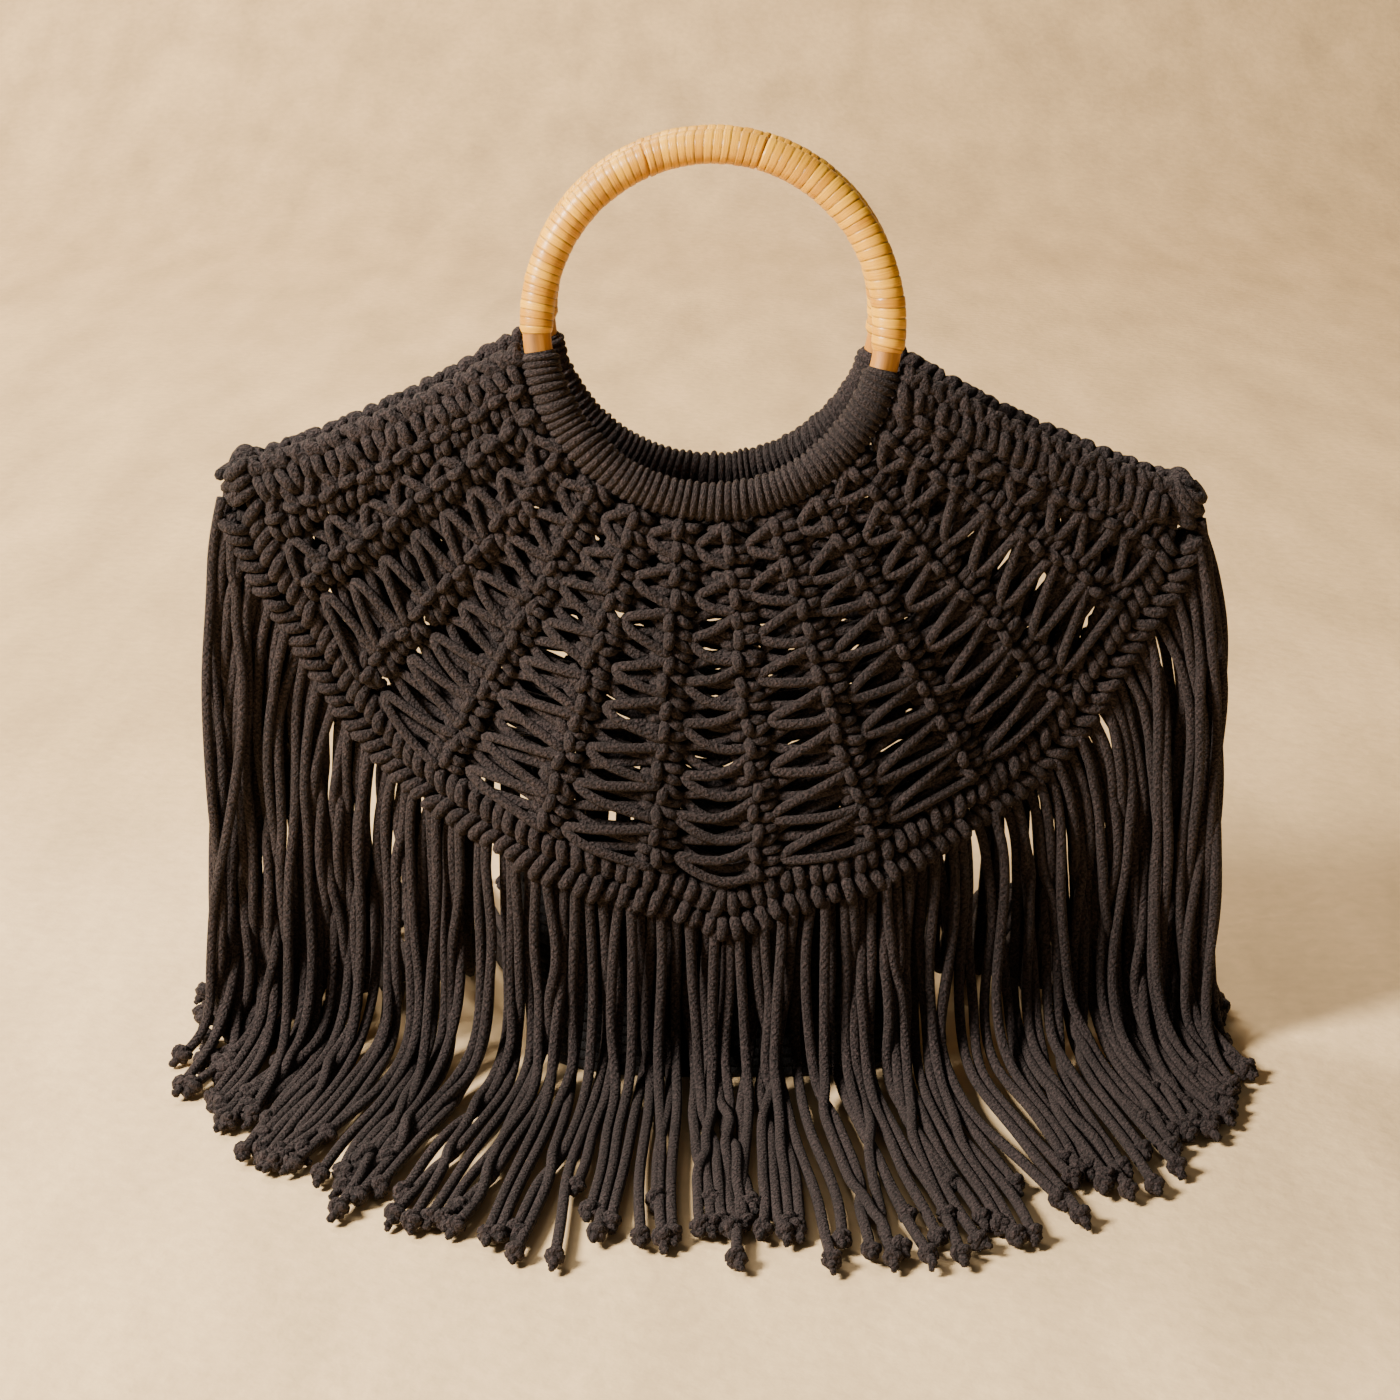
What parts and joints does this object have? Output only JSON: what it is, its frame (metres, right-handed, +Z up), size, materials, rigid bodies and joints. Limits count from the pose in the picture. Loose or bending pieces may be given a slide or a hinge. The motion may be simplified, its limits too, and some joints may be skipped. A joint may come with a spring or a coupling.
{
  "type": "macrame fringe bag",
  "caption": "Knotted cotton cord handbag with two round rattan ring handles, a fan-shaped open net front and back, a V-shaped border and a long cord fringe.",
  "frame": {"origin": "centre of the object's box on the floor it stands on", "axes": "+X along the bag's width, -Y is the front, +Z up through the ring handles"},
  "size_m": [0.4764, 0.4286, 0.4135],
  "materials": {
    "rattan": "smooth bare rattan, satin",
    "cane": "wound cane strip, honey coloured, semi-gloss",
    "cotton_cord": "dark brown charcoal braided cotton cord, matte",
    "pouch_cord": "near black close-knotted cotton, matte"
  },
  "bodies": {
    "root": {"ring_front": "rattan", "cane_wrap_front": "cane", "cord_wrap_front": "cotton_cord", "net_front": "cotton_cord", "border_front": "cotton_cord", "shoulder_front_left": "cotton_cord", "shoulder_front_right": "cotton_cord", "fringe_front": "cotton_cord", "ring_back": "rattan", "cane_wrap_back": "cane", "cord_wrap_back": "cotton_cord", "net_back": "cotton_cord", "border_back": "cotton_cord", "shoulder_back_left": "cotton_cord", "shoulder_back_right": "cotton_cord", "fringe_back": "cotton_cord", "corner_knot_left": "cotton_cord", "corner_knot_right": "cotton_cord", "pouch": "pouch_cord"}
  },
  "joints": []
}
